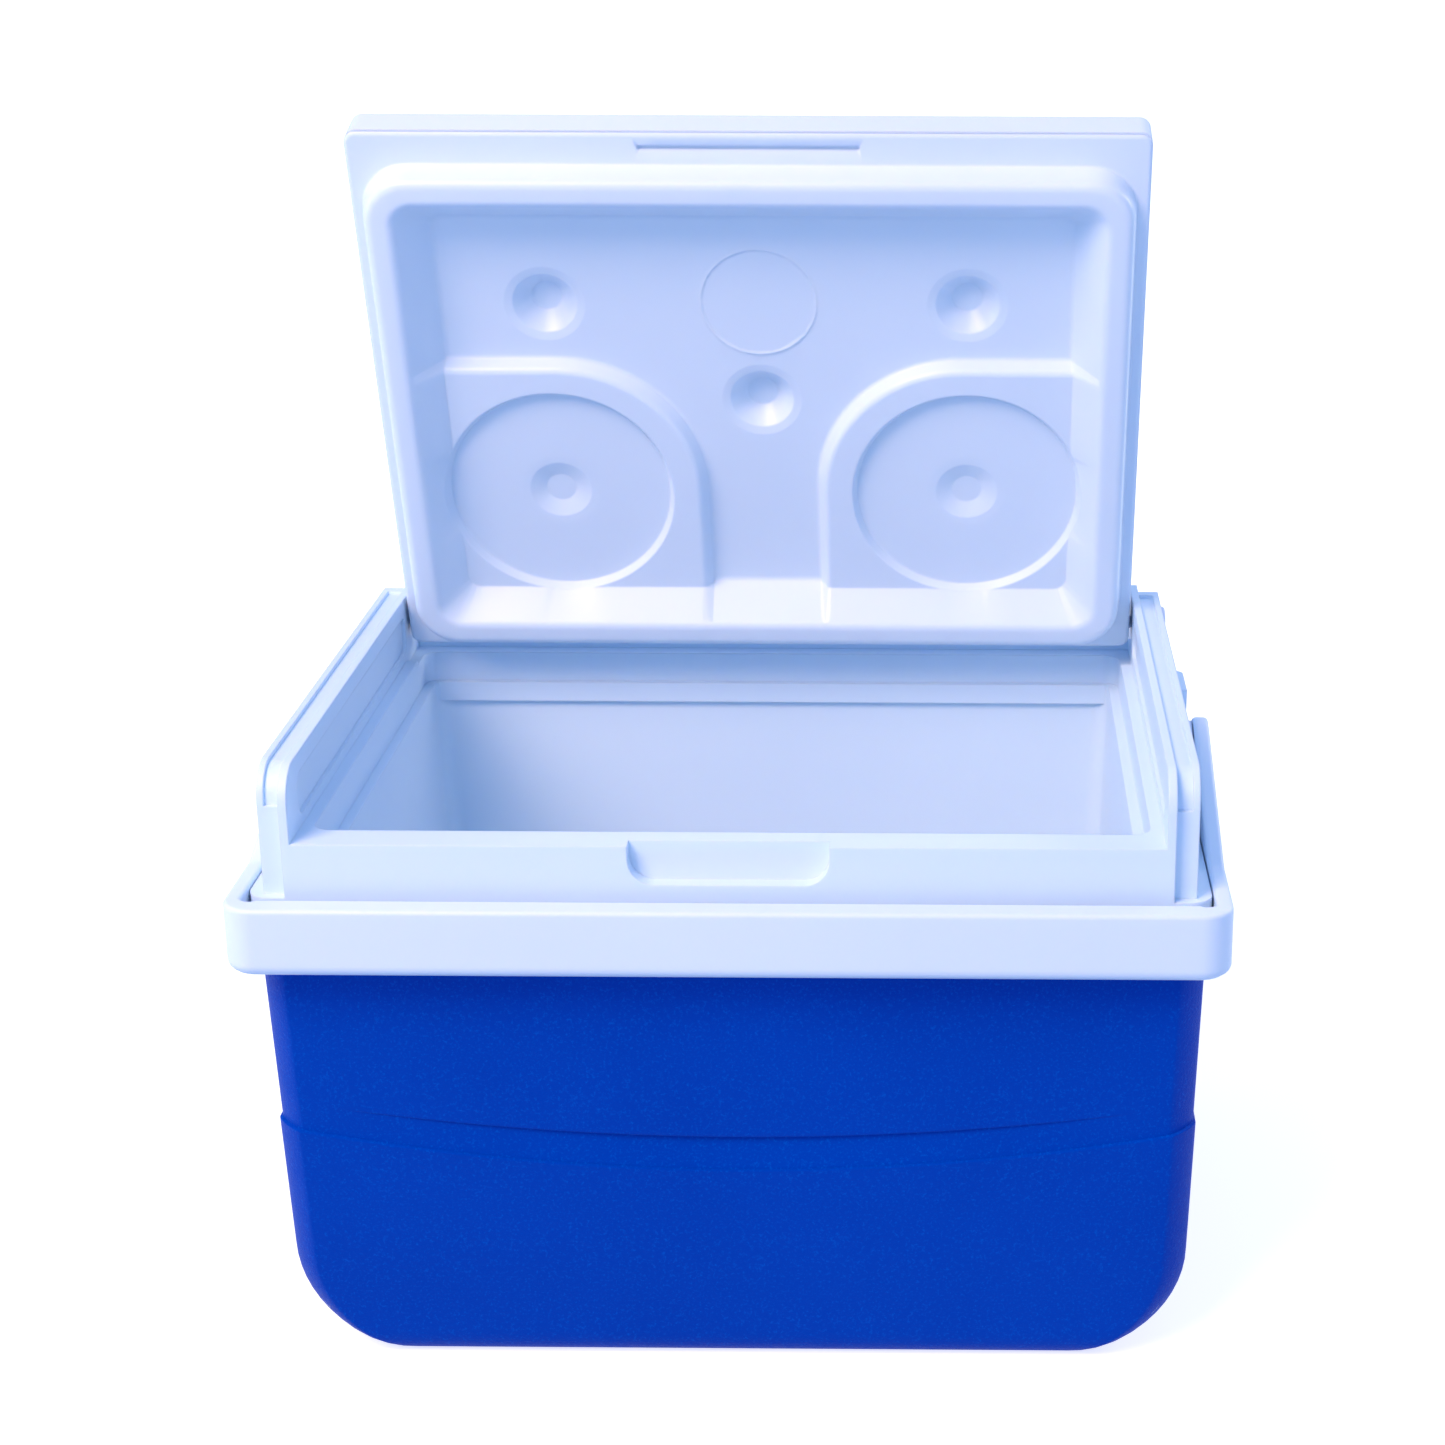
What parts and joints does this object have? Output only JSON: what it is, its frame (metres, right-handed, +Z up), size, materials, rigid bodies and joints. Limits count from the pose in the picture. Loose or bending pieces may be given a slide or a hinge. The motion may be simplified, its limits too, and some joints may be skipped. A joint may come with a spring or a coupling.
{
  "type": "cooler chest",
  "caption": "Small hard-sided cooler chest: tapered tub, white insulated liner with side rails, hinged lid with two cup recesses, and a bail handle that swings over the lid.",
  "frame": {"origin": "middle of the tub's flat base, on the ground", "axes": "+X to the right, +Y to the back (hinge side), +Z up"},
  "size_m": [0.2696, 0.1972, 0.3356],
  "materials": {
    "tub_blue": "satin",
    "liner_white": "satin",
    "lid_white": "satin",
    "handle_white": "satin",
    "pin_white": "satin",
    "foam": "matte"
  },
  "bodies": {
    "chest": {"outer_tub": "tub_blue", "inner_liner": "liner_white", "insulation_floor": "foam", "insulation_front": "foam", "insulation_back": "foam", "insulation_left": "foam", "insulation_right": "foam", "lid_hinge_pin_left": "pin_white", "lid_hinge_pin_right": "pin_white", "handle_pivot_left": "pin_white", "handle_pivot_right": "pin_white", "handle_spacer_left": "pin_white", "handle_spacer_right": "pin_white"},
    "lid": {"lid_top_shell": "lid_white", "lid_inner_shell": "lid_white", "lid_insulation": "foam"},
    "handle": {"bail_handle": "handle_white"}
  },
  "joints": [
    {"name": "lid_hinge", "type": "hinge", "parent": "chest", "child": "lid", "pos_m": [0, 0.0835, 0.1687], "axis": [-1, 0, 0], "range_deg": [-72.7, 27.3]},
    {"name": "handle_swing", "type": "hinge", "parent": "chest", "child": "handle", "pos_m": [0, -0.0065, 0.156], "axis": [-1, 0, 0], "range_deg": [0, 110]}
  ]
}
